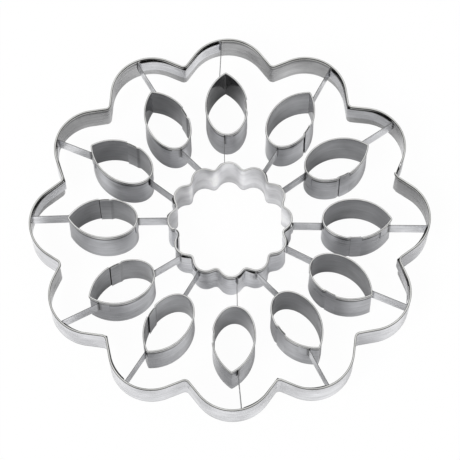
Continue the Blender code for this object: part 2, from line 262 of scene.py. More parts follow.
@dataclass(frozen=True)
class Sheet:
    """The steel sheet, the way its upper edge is folded, and where painted shade darkens it.

    The wall leans just enough to bring the middle of the fold over the cutting edge. Its back is the face
    without the hem. The shade and shadow fields say how dark painted shade makes a place, from 0 to 1, and
    the height and fade fields over what height. It lies on the cut edge and bevel, towards each face's foot,
    down the flap, on both shoulders of the fold as painted dark reflections, and under the hem's foot as a
    painted shadow.
    """

    hem: Hem
    bottom: float
    top: float
    hem_gap: float = 0.0
    gauge: float = 0.4
    hem_drop: float = 2.6
    tab_drop: float = 0.3
    edge: float = 0.09
    guard: float = 0.15
    back_shade_height: float = 2.2
    back_foot_shade: float = 0.4
    front_shade_height: float = 2.2
    front_foot_shade: float = 0.0
    cut_edge_shade: float = 0.5
    bevel_shade: float = 0.4
    flap_shade: float = 0.1
    flap_end_shade: float = 0.3
    fold_shoulder_shade: float = 0.2
    flap_shoulder_shade: float = 0.35
    hem_foot_shadow: float = 0.9
    shoulder_shade_gain: float = 2.5
    shoulder_shade_start: float = 1.1
    fade: float = 1.0
    flap_fade: float = 0.8
    foot_fade: float = 1.2
    view_slope: float = 2.5
    fold_points: int = 13
    crevice_points: int = 7

    @property
    def hem_width(self) -> float:
        """Thickness of the rim over the fold."""
        return 2 * self.gauge + self.hem_gap

    @property
    def shade(self) -> float:
        """How far down the hem hides the wall behind it from someone who looks steeply down on it. The
        painted shadow under the hem reaches this far and a little further before it fades.
        """
        return self.view_slope * (self.gauge + self.hem_gap)

    @property
    def lean(self) -> float:
        """How far the wall's top lies away from its foot, away from the hem."""
        return 0.0 if self.hem is Hem.NONE else (self.gauge + self.hem_gap) / 2

    def lean_at(self, height: float) -> float:
        """Gives how far the leaning wall has moved at a height."""
        return self.lean * (height - self.bottom) / (self.top - self.bottom)

    def leaning(self, spots: list[Spot]) -> list[Spot]:
        """Applies the lean to a section that is drawn for an inward hem, and mirrors it for an outward one.

        Args:
            spots: The upright section.

        Returns:
            The section as it stands.
        """
        leant = [Spot(x - self.lean_at(z), z, side, grime) for x, z, side, grime in spots]
        if self.hem is not Hem.OUTWARD:
            return leant
        other = {Side.OUTER: Side.INNER, Side.INNER: Side.OUTER}
        return [Spot(-x, z, other.get(side, side), grime) for x, z, side, grime in leant]

    def plain(self, press: float = 0.0, drop: float = 0.0) -> list[Spot]:
        """Draws a plain strip's section.

        Args:
            press: How much thinner it is pressed on each face.
            drop: How much lower than the rim it ends.

        Returns:
            The section.
        """
        half, edge = self.gauge / 2 - press, self.edge
        foot, top = self.bottom + press, self.top - drop
        spots = [
            Spot(half - edge, foot, Side.RIM),
            Spot(-half + edge, foot, Side.RIM),
            Spot(-half, foot + edge, Side.OUTER),
            Spot(-half, top - edge, Side.RIM),
            Spot(-half + edge, top, Side.RIM),
            Spot(half - edge, top, Side.RIM),
            Spot(half, top - edge, Side.INNER),
            Spot(half, foot + edge, Side.RIM),
        ]
        return self.leaning(spots)

    def hemmed(self) -> list[Spot]:
        """Draws the section of a strip with its upper edge folded over.

        Close guard points beside each bend keep its shading off the flat faces.

        Returns:
            The section.
        """
        half, edge, guard = self.gauge / 2, self.edge, self.guard
        middle = half + self.hem_gap / 2
        outer, inner = self.hem_width / 2, self.hem_gap / 2
        crest, foot = self.top - outer, self.top - self.hem_drop
        shaded = foot - self.shade - self.foot_fade
        back, flap = middle + outer, middle + inner
        spots = [
            # Painted shade on the cut edge, darker towards the foot of the back, and on the back's shoulder
            # of the fold.
            Spot(half - edge, self.bottom, Side.RIM, self.cut_edge_shade),
            Spot(-half + edge, self.bottom, Side.RIM, self.cut_edge_shade),
            Spot(-half, self.bottom + edge, Side.OUTER, self.back_foot_shade),
            Spot(-half, self.bottom + self.back_shade_height, Side.OUTER),
            Spot(-half, crest - self.fade, Side.OUTER),
            Spot(-half, crest - guard, Side.RIM, self.fold_shoulder_shade),
        ]
        # Painted dark reflections on both shoulders of the fold, leaving its crest light.
        for turn in np.linspace(0, math.pi, self.fold_points):
            shoulder_shade = self.fold_shoulder_shade if turn < math.pi / 2 else self.flap_shoulder_shade
            across, up = outer * math.cos(turn), outer * math.sin(turn)
            shoulder_dark = shoulder_shade * float(np.clip(abs(math.cos(turn)) * self.shoulder_shade_gain - self.shoulder_shade_start, 0, 1))
            spots.append(Spot(middle - across, crest + up, Side.RIM, shoulder_dark))
        spots += [
            # Painted shade down the flap, darkest at its lower edge.
            Spot(back, crest - guard, Side.RIM, self.flap_shoulder_shade),
            Spot(back, crest - self.flap_fade, Side.RIM, self.flap_shade),
            Spot(back, foot + edge, Side.RIM, self.flap_end_shade),
            Spot(back - edge, foot, Side.SHADOWED_CREVICE),
            Spot(flap + edge, foot, Side.SHADOWED_CREVICE),
            Spot(flap, foot + edge, Side.SHADOWED_CREVICE),
            Spot(flap, crest - guard, Side.SHADOWED_CREVICE),
        ]
        for turn in np.linspace(0, math.pi, self.crevice_points):
            spots.append(Spot(middle + inner * math.cos(turn), crest + inner * math.sin(turn), Side.SHADOWED_CREVICE))
        spots += [
            Spot(half, crest - guard, Side.SHADOWED_CREVICE),
            # A painted shadow under the hem's foot, full at the foot and fading below the depth that the hem
            # hides.
            Spot(half, foot, Side.INNER, 1.0),
            Spot(half, shaded, Side.INNER, self.hem_foot_shadow),
            Spot(half, shaded - self.fade, Side.INNER),
            # Painted shade, darker towards this face's foot and on the bevel.
            Spot(half, self.bottom + self.front_shade_height, Side.INNER),
            Spot(half, self.bottom + guard + edge, Side.INNER, self.front_foot_shade),
            Spot(half, self.bottom + edge, Side.RIM, self.bevel_shade),
        ]
        return self.leaning(spots)


class Graph:
    """Helper that fills a shader node tree."""

    def __init__(self, tree: bpy.types.NodeTree) -> None:
        """Keeps the tree."""
        self.tree = tree

    def put(self, socket: bpy.types.NodeSocket, value: object) -> None:
        """Sets or links one input socket.

        Args:
            socket: The input.
            value: Its value, or an output socket to link from.
        """
        if isinstance(value, bpy.types.NodeSocket):
            self.tree.links.new(value, socket)
        else:
            socket.default_value = value

    def fill(self, node: bpy.types.Node, **inputs: object) -> bpy.types.Node:
        """Sets or links a node's inputs.

        Args:
            node: The node.
            inputs: Values or output sockets by input name, with underscores for blanks.

        Returns:
            The node.
        """
        for label, value in inputs.items():
            self.put(node.inputs[label.replace("_", " ")], value)
        return node

    def node(self, kind: str, **inputs: object) -> bpy.types.Node:
        """Adds a node of a kind, with its inputs as fill takes them."""
        return self.fill(self.tree.nodes.new(kind), **inputs)

    def group(self, tree: bpy.types.NodeTree, **inputs: object) -> bpy.types.Node:
        """Adds a node group.

        Args:
            tree: The group.
            inputs: Its inputs, as fill takes them.

        Returns:
            Its node.
        """
        node = self.tree.nodes.new("ShaderNodeGroup")
        node.node_tree = tree
        return self.fill(node, **inputs)

    def math(self, operation: str, *values: object) -> bpy.types.NodeSocket:
        """Adds a Math node.

        Args:
            operation: What it does.
            values: Its inputs, as values or output sockets.

        Returns:
            Its output.
        """
        node = self.node("ShaderNodeMath")
        node.operation = operation
        for socket, value in zip(node.inputs, values):
            self.put(socket, value)
        return node.outputs[0]

    def ramp(
        self, value: object, limits: tuple[float, float], ends: tuple[float, float]
    ) -> bpy.types.NodeSocket:
        """Adds a smooth Map Range node.

        Args:
            value: What it maps.
            limits: The values between which its output changes.
            ends: Its outputs at the limits.

        Returns:
            Its output.
        """
        node = self.node("ShaderNodeMapRange", Value=value)
        node.interpolation_type = "SMOOTHSTEP"
        self.fill(node, From_Min=limits[0], From_Max=limits[1], To_Min=ends[0], To_Max=ends[1])
        return node.outputs["Result"]


class GroupGraph(Graph):
    """A new shader node group."""

    def __init__(
        self, name: str, given: list[tuple[str, str, object]], results: list[tuple[str, str]]
    ) -> None:
        """Makes an empty group with its sockets.

        Args:
            name: Name of the group.
            given: Its inputs, as name, socket type and default value.
            results: Its outputs, as name and socket type.
        """
        super().__init__(bpy.data.node_groups.new(name, "ShaderNodeTree"))
        sockets = self.tree.interface
        for label, kind, value in given:
            sockets.new_socket(label, in_out="INPUT", socket_type=kind).default_value = value
        for label, kind in results:
            sockets.new_socket(label, in_out="OUTPUT", socket_type=kind)
        self.given = self.node("NodeGroupInput").outputs
        self.result = self.node("NodeGroupOutput")


def rolled_grain_group() -> bpy.types.NodeTree:
    """Makes the node group of rolled sheet: fine streaks along the strip and soft clouds of handling.

    Returns:
        The group, built once.
    """
    name = "rolled_grain"
    if name in bpy.data.node_groups:
        return bpy.data.node_groups[name]
    group = GroupGraph(
        name,
        [
            ("Shade", "NodeSocketColor", (0.6, 0.6, 0.6, 1.0)),
            ("Roughness", "NodeSocketFloat", 0.3),
            ("Streaks", "NodeSocketFloat", 0.1),
            ("Cloud", "NodeSocketFloat", 0.05),
            ("Grime", "NodeSocketFloat", 0.0),
        ],
        [("Colour", "NodeSocketColor"), ("Roughness", "NodeSocketFloat"), ("Height", "NodeSocketFloat")],
    )
    given = group.given
    strip = group.node("ShaderNodeUVMap")
    strip.uv_map = "strip"
    stretch = group.node("ShaderNodeMapping", Vector=strip.outputs["UV"], Scale=GRAIN_STRETCH)
    streaks = group.node(
        "ShaderNodeTexNoise", Vector=stretch.outputs["Vector"], Scale=1.0, Detail=6.0, Roughness=0.72
    )
    place = group.node("ShaderNodeTexCoord")
    clouds = group.node("ShaderNodeTexNoise", Vector=place.outputs["Object"], Scale=55.0, Detail=2.0)
    fine = group.math("SUBTRACT", streaks.outputs["Fac"], 0.5)
    soft = group.math("SUBTRACT", clouds.outputs["Fac"], 0.5)
    both = group.math(
        "ADD",
        group.math("MULTIPLY", fine, given["Streaks"]),
        group.math("MULTIPLY", soft, given["Cloud"]),
    )
    lively = group.math("MULTIPLY_ADD", both, GRAIN_TINT, 1.0)
    # Painted shade from the vertex attribute darkens the shade colour.
    unshaded = group.math("MULTIPLY_ADD", given["Grime"], -PAINTED_SHADE_TINT, 1.0)
    tint = group.node("ShaderNodeVectorMath")
    tint.operation = "SCALE"
    group.fill(tint, Vector=given["Shade"], Scale=group.math("MULTIPLY", lively, unshaded))
    group.fill(
        group.result,
        Colour=tint.outputs["Vector"],
        Roughness=group.math("SUBTRACT", given["Roughness"], both),
        Height=streaks.outputs["Fac"],
    )
    return group.tree


def weld_mark_group() -> bpy.types.NodeTree:
    """Makes the node group of spot welds: a small disc pressed into the relief of the grain.

    Returns:
        The group, built once.
    """
    name = "weld_mark"
    if name in bpy.data.node_groups:
        return bpy.data.node_groups[name]
    group = GroupGraph(name, [("Grain", "NodeSocketFloat", 0.5)], [("Height", "NodeSocketFloat")])
    spot = group.node("ShaderNodeUVMap")
    spot.uv_map = "weld"
    away = group.node("ShaderNodeVectorMath", Vector=spot.outputs["UV"])
    away.operation = "LENGTH"
    disc = group.ramp(away.outputs["Value"], WELD_DISC, (1.0, 0.0))
    group.fill(group.result, Height=group.math("MULTIPLY_ADD", disc, -WELD_DEPTH, group.given["Grain"]))
    return group.tree


@dataclass(frozen=True)
class FinishAndShade:
    """One material of the bare stainless sheet; its shade may be a lighter or darker copy that paints light
    and shade.
    """

    name: str
    shade: tuple[float, float, float]
    roughness: float
    streaks: float = 0.50
    cloud: float = 0.40
    bump: float = 0.3
    relief: float = 0.00003

    def material(self) -> bpy.types.Material:
        """Builds the finish's material.

        Returns:
            The material, made once.
        """
        if self.name in bpy.data.materials:
            return bpy.data.materials[self.name]
        material = bpy.data.materials.new(self.name)
        material.use_nodes = True
        graph = Graph(material.node_tree)
        # The vertex attribute holds painted shade and painted dark reflections, which darken the base colour.
        grime = graph.node("ShaderNodeAttribute")
        grime.attribute_name = "grime"
        grain = graph.group(
            rolled_grain_group(),
            Shade=(*self.shade, 1.0),
            Roughness=self.roughness,
            Streaks=self.streaks,
            Cloud=self.cloud,
            Grime=grime.outputs["Fac"],
        )
        weld = graph.group(weld_mark_group(), Grain=grain.outputs["Height"])
        bump = graph.node("ShaderNodeBump", Strength=self.bump, Distance=self.relief)
        graph.fill(bump, Height=weld.outputs["Height"])
        graph.fill(
            graph.tree.nodes["Principled BSDF"],
            Metallic=1.0,
            Base_Color=grain.outputs["Colour"],
            Roughness=grain.outputs["Roughness"],
            Normal=bump.outputs["Normal"],
        )
        return material


@dataclass(frozen=True)
class StripFinishAndShade:
    """The materials of one strip: both faces, the rim, the painted shadow of crevices, and last its ends and
    bracket tabs.
    """

    slot: str
    outer: FinishAndShade
    inner: FinishAndShade
    rim: FinishAndShade
    # Near-black painted shadow for faces in crevices and behind other sheets.
    crevice_shadow: FinishAndShade = FinishAndShade("crevice_shadow", (0.06, 0.06, 0.06), 0.5)
    tab: FinishAndShade | None = None

    def dress(self, piece: bpy.types.Object, node: str) -> bpy.types.Object:
        """Gives a piece its materials and ties it to the frame.

        Args:
            piece: The new piece.
            node: The frame's node that it stands for.

        Returns:
            The piece.
        """
        for finish in (self.outer, self.inner, self.rim, self.crevice_shadow, self.tab or self.outer):
            piece.data.materials.append(finish.material())
        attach(piece, BODY)
        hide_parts(node)
        LOG.info("%s: %d faces", piece.name, len(piece.data.polygons))
        return piece


@dataclass
class StripMesh:
    """A mesh that strips are swept into.

    Its UV map "strip" holds the run along a strip and round its section, and "weld" the way to the nearest
    weld, both in centimetres.
    """

    name: str
    welds: list[tuple[float, float]]
    mesh: bmesh.types.BMesh = field(default_factory=bmesh.new)

    def sweep(
        self,
        path: Array,
        section: list[Spot],
        start: float = 0.0,
        backs: tuple[Back, ...] = (),
        shade_patches: tuple[ShadePatch, ...] = (),
    ) -> None:
        """Carries a section along an open path and closes both ends.

        Args:
            path: Plan of the wall's middle.
            section: The section.
            start: The run at the path's first point.
            backs: Stretches where one face has another finish.
            shade_patches: Patches of painted shade.
        """
        left = mitres(path)
        run = run_lengths(path) + start
        # Each vertex takes the painted shade of its section spot or of a shade patch, whichever is darker.
        grime = self.mesh.verts.layers.float.get("grime") or self.mesh.verts.layers.float.new("grime")
        outline = np.array([spot[:2] for spot in section])
        around = run_lengths(np.vstack([outline, outline[:1]]))
        rings = []
        for point, side, mark in zip(path, left, run):
            plan = [(point - side * spot.across) * MM for spot in section]
            rings.append([self.mesh.verts.new((*at, spot.height * MM)) for at, spot in zip(plan, section)])
            for vertex, spot in zip(rings[-1], section):
                shade_depths = [patch.depth(mark) for patch in shade_patches if patch.side is spot.side]
                vertex[grime] = max([spot.grime, *shade_depths])
        chart = self.mesh.loops.layers.uv.get("strip") or self.mesh.loops.layers.uv.new("strip")
        marks = self.mesh.loops.layers.uv.get("weld") or self.mesh.loops.layers.uv.new("weld")
        count = len(section)
        for place, (one, two) in enumerate(zip(rings, rings[1:])):
            for i, spot in enumerate(section):
                j = (i + 1) % count
                face = self.mesh.faces.new((one[i], one[j], two[j], two[i]))
                face.smooth = True
                face.material_index = spot.side.value
                middle = ((run[place] + run[place + 1]) / 2, (spot.height + section[j].height) / 2)
                for back in backs:
                    if back.side is spot.side and back.start < middle[0] < back.end:
                        face.material_index = back.shown.value
                weld = self.nearest_weld(middle)
                corners = (
                    (run[place], around[i], spot.height),
                    (run[place], around[i + 1], section[j].height),
                    (run[place + 1], around[i + 1], section[j].height),
                    (run[place + 1], around[i], spot.height),
                )
                for loop, (along, round_it, height) in zip(face.loops, corners):
                    loop[chart].uv = (along / CM, round_it / CM)
                    loop[marks].uv = ((along - weld[0]) / CM, (height - weld[1]) / CM)
        for cap in (self.mesh.faces.new(rings[0][::-1]), self.mesh.faces.new(rings[-1])):
            cap.material_index = Side.TAB.value

    def nearest_weld(self, middle: tuple[float, float]) -> tuple[float, float]:
        """Gives the weld nearest to a face's middle."""
        return min(self.welds, key=lambda weld: math.dist(weld, middle))

    def piece(self) -> bpy.types.Object:
        """Makes the object.

        Returns:
            The object, in the scene.
        """
        bmesh.ops.recalc_face_normals(self.mesh, faces=self.mesh.faces)
        data = bpy.data.meshes.new(self.name)
        self.mesh.to_mesh(data)
        self.mesh.free()
        data.set_sharp_from_angle(angle=math.radians(SHARP_ANGLE))
        node = bpy.data.objects.new(self.name, data)
        bpy.context.scene.collection.objects.link(node)
        return node


@dataclass(frozen=True)
class LapJoint:
    """The hem is notched away at both ends of a strip, and the plain tabs there lie on each other.

    The seam's first end is set inwards by the inset, which runs out over the ramp. Both tabs have the length,
    less their gap, and reach into their own hem by the root.
    """

    length: float = 7.5
    ramp: float = 2.4
    inset: float = 0.85
    inner_gap: float = 0.6
    outer_gap: float = 0.5
    press: float = 0.03
    root: float = 1.0
    ramp_points: int = 9
    least_step: float = 0.08

    def stretch(self, outline: Array, seam: float, start: float, end: float) -> Array:
        """Gives part of a closed outline as an open path, set inwards at its seam and before it.

        Args:
            outline: Closed clockwise outline.
            seam: Length walked along the outline to its seam.
            start: Where the path begins, as a length walked from the seam.
            end: Where it ends.

        Returns:
            The open path.
        """
        looped = np.tile(outline, (3, 1))
        run = run_lengths(looped) - girth(outline) - seam
        normal = mitres(looped)
        within = run[(run > start) & (run < end)]
        ramp = self.ramp * np.linspace(0, 1, self.ramp_points)
        marks = np.unique([start, *within, *ramp[(ramp > start) & (ramp < end)], end])
        marks = marks[np.concatenate([[True], np.diff(marks) > self.least_step])]
        here = np.stack([np.interp(marks, run, looped[:, axis]) for axis in (0, 1)], -1)
        side = np.stack([np.interp(marks, run, normal[:, axis]) for axis in (0, 1)], -1)
        share = np.clip(1 - marks / self.ramp, 0.0, 1.0)
        return here - side * (self.inset * share * share * (3 - 2 * share))[:, None]


@dataclass
class ClosedStrip:
    """A hemmed strip that runs once round a closed outline and laps over itself."""

    name: str
    finish: StripFinishAndShade
    sheet: Sheet
    lap: LapJoint

    def outline(self) -> Array:
        """Gives the closed clockwise outline of the wall's foot."""
        raise NotImplementedError

    def placed(self, outline: Array) -> Array:
        """Moves an outline to its place."""
        return outline

    def seam_run(self) -> float:
        """Gives the length walked along the outline to the seam."""
        raise NotImplementedError

    def bent(self, path: Array) -> Array:
        """Rounds the bends that the strip has beyond its outline."""
        return path

    def shade_patches(self) -> tuple[ShadePatch, ...]:
        """Gives the patches of painted shade on its faces."""
        return ()

    def build(self) -> bpy.types.Object:
        """Makes the strip with its two tabs and dresses it.

        Returns:
            The new piece.
        """
        outline, seam, lap = self.outline(), self.seam_run(), self.lap
        total = girth(outline)
        height = self.sheet.top - self.sheet.bottom
        middle = -lap.length / 2
        heights = [self.sheet.bottom + share * height for share in WELD_HEIGHTS]
        welds = [(run, up) for run in (middle, total + middle) for up in heights]
        strip = StripMesh(f"{self.name}_strip", welds)
        tab = self.sheet.plain(lap.press, self.sheet.tab_drop)
        # The faces of both tabs that lie on each other get the painted shadow of a crevice.
        under = Back(lap.inner_gap - lap.length, -lap.outer_gap, Side.OUTER)
        over = Back(total - lap.length, total, Side.INNER)
        shade_patches = self.shade_patches()
        for section, start, end, backs in (
            (self.sheet.hemmed(), 0.0, total - lap.length, ()),
            (tab, lap.inner_gap - lap.length, lap.root, (under,)),
            (tab, total - lap.length - lap.root, total - lap.outer_gap, (over,)),
        ):
            path = self.placed(self.bent(lap.stretch(outline, seam, start, end)))
            strip.sweep(path, section, start, backs, shade_patches)
        return self.finish.dress(strip.piece(), self.name)


@dataclass
class ScallopedRing(ClosedStrip):
    """A ring of round crowns with filleted notches between them.

    Depth is how far in the notches lie, and flank the angle between a notch's side and its radial line. Rises
    and turns move single crowns outwards and clockwise.
    """

    crown: float
    depth: float
    flank: float
    fillet: float
    seam: float
    turn: float = 0.0
    rises: tuple[float, ...] = EVEN
    turns: tuple[float, ...] = EVEN
    pitch: float = 1.2
    # Painted shade on the lapped tabs' upper edges, and inside each crown.
    lap_shade: float = 0.0
    crown_shade: float = 0.0

    def crown_radius(self) -> float:
        """Gives the radius of the arc that runs over an even crown and into its straight flanks."""
        inward = heading(STEP / 2 - self.flank - 90.0)
        reach = self.crown * heading(0.0) - (self.crown - self.depth) * heading(STEP / 2)
        return float(reach @ inward) / (1 + inward[1])

    def notch(self, corner: Array, before: Array, after: Array, fillet: float) -> Array:
        """Rounds a notch between two flanks.

        Args:
            corner: Where the flanks meet.
            before: The flank's start before it.
            after: The flank's end after it.
            fillet: The radius, or 0 for the bare corner.

        Returns:
            The fillet's points, or the corner alone.
        """
        if not fillet:
            return np.array([corner])
        one = (before - corner) / np.hypot(*(before - corner))
        two = (after - corner) / np.hypot(*(after - corner))
        half = math.acos(float(one @ two)) / 2
        middle = corner + (one + two) / np.hypot(*(one + two)) * fillet / math.sin(half)
        reach = fillet / math.tan(half)
        return bend(middle, corner + one * reach, corner + two * reach, self.pitch / NOTCH_DETAIL)

    def scallop(self, fillet: float) -> Array:
        """Gives the closed clockwise outline of the wall's foot, from the left flank of crown 12.

        Args:
            fillet: Radius in the notches.

        Returns:
            The outline.
        """
        radius = self.crown_radius()
        centres, corners = [], []
        for petal in range(PETALS):
            after = (petal + 1) % PETALS
            rise, turn = self.rises[petal], self.turns[petal]
            centres.append((self.crown + rise - radius) * heading(STEP * petal + turn))
            rise, turn = (rise + self.rises[after]) / 2, (turn + self.turns[after]) / 2
            corners.append((self.crown + rise - self.depth) * heading(STEP * (petal + 0.5) + turn))
        touches = []
        for petal, centre in enumerate(centres):
            pair = []
            for corner, side in ((corners[petal - 1], -1), (corners[petal], 1)):
                reach = corner - centre
                angle = math.atan2(reach[1], reach[0]) + side * math.acos(radius / np.hypot(*reach))
                pair.append(centre + radius * np.array([math.cos(angle), math.sin(angle)]))
            touches.append(pair)
        points = []
        for petal, (centre, (left, right)) in enumerate(zip(centres, touches)):
            following = touches[(petal + 1) % PETALS][0]
            notch = self.notch(corners[petal], right, following, fillet)
            top = centre * (1 + radius / np.hypot(*centre))
            points.append(bend(centre, left, top, self.pitch)[:-1])
            points.append(bend(centre, top, right, self.pitch)[:-1])
            points.append(resampled(np.array([right, notch[0]]), self.pitch)[:-1])
            points.append(notch)
            points.append(resampled(np.array([notch[-1], following]), self.pitch)[1:-1])
        return turned(np.vstack(points), self.turn)

    def outline(self) -> Array:
        """Gives the closed clockwise outline of the wall's foot."""
        return self.scallop(self.fillet)

    def run_at(self, clock: float) -> float:
        """Finds a place on the outline.

        Args:
            clock: Its clock angle.

        Returns:
            The length walked along the outline to it.
        """
        outline = self.outline()
        clocks = np.degrees(np.unwrap(np.arctan2(outline[:, 0], outline[:, 1])))
        return float(np.interp(clock, clocks, run_lengths(outline)))

    def seam_run(self) -> float:
        """Gives the length walked along the outline to the seam's clock angle."""
        return self.run_at(self.seam)

    def shade_patches(self) -> tuple[ShadePatch, ...]:
        """Gives the patches of painted shade on its faces.

        Returns:
            Painted shade on the upper edges of both tabs and inside each crown.
        """
        half, total, seam = self.lap.length / 2, girth(self.outline()), self.seam_run()
        laps = [ShadePatch(run, half, self.lap_shade, Side.RIM) for run in (-half, total - half)]
        tops = [(self.run_at(STEP * petal + self.turn) - seam) % total for petal in range(PETALS)]
        return (*laps, *(ShadePatch(top, total / PETALS / 2, self.crown_shade, Side.INNER) for top in tops))


@dataclass
class LeafCutter(ClosedStrip):
    """One leaf: a round inner end, as long as blunt says, that runs over into a pointed tip.

    Its middle lies at the radius, moved sideways by the shift.
    """

    number: int
    turn: float
    shift: float
    radius: float = 82.75
    length: float = 44.7
    width: float = 27.3
    blunt: float = 20.3
    seam_past: float = 2.3
    tip_bend: float = 0.9
    tip_reach: float = 24.0
    tip_turn: float = 40.0
    tip_points: int = 6
    # Painted shade inside the tip and at the lap's step.
    tip_shade: float = 0.12
    step_shade: float = 0.4
    round_points: int = 28
    bow_points: int = 30

    def outline(self) -> Array:
        """Draws the leaf about its middle, from its inner end.

        Returns:
            The closed clockwise outline of the wall's foot.
        """
        half = self.width / 2
        rest = self.length - self.blunt
        radius = (rest**2 + half**2) / (2 * half)
        turn = np.linspace(0, math.pi / 2, self.round_points)
        bow = np.linspace(0, math.asin(rest / radius), self.bow_points)[1:]
        lengthwise = np.concatenate([self.blunt * (1 - np.cos(turn)), self.blunt + radius * np.sin(bow)])
        across = np.concatenate([half * np.sin(turn), half - radius * (1 - np.cos(bow))])
        left = np.stack([-across, lengthwise - self.length / 2], -1)
        return np.vstack([left, (left * [-1, 1])[::-1][1:-1]])

    def placed(self, outline: Array) -> Array:
        """Moves an outline about the leaf's middle to its place."""
        middle = turned(np.array([[self.shift, self.radius]]), STEP * self.number)
        return turned(outline, STEP * self.number + self.turn) + middle

    def seam_run(self) -> float:
        """Finds the seam, a little past the widest point on the clockwise side.

        Returns:
            The length walked along the outline to it.
        """
        outline = self.outline()
        widest = int(np.argmax(outline[:, 0]))
        return float(run_lengths(outline)[widest]) + self.seam_past

    def shade_patches(self) -> tuple[ShadePatch, ...]:
        """Gives the patches of painted shade on its faces.

        Returns:
            Painted shade inside the tip and at the step beside the seam.
        """
        outline, half = self.outline(), self.lap.ramp / 2
        tip = float(run_lengths(outline)[int(np.argmax(outline[:, 1]))])
        return (
            ShadePatch((tip - self.seam_run()) % girth(outline), self.tip_reach, self.tip_shade, Side.INNER),
            ShadePatch(half, half, self.step_shade, Side.INNER),
        )

    def bent(self, path: Array) -> Array:
        """Rounds the tip."""
        return rounded(path, np.full(len(path), self.tip_bend), self.tip_turn, self.tip_points)


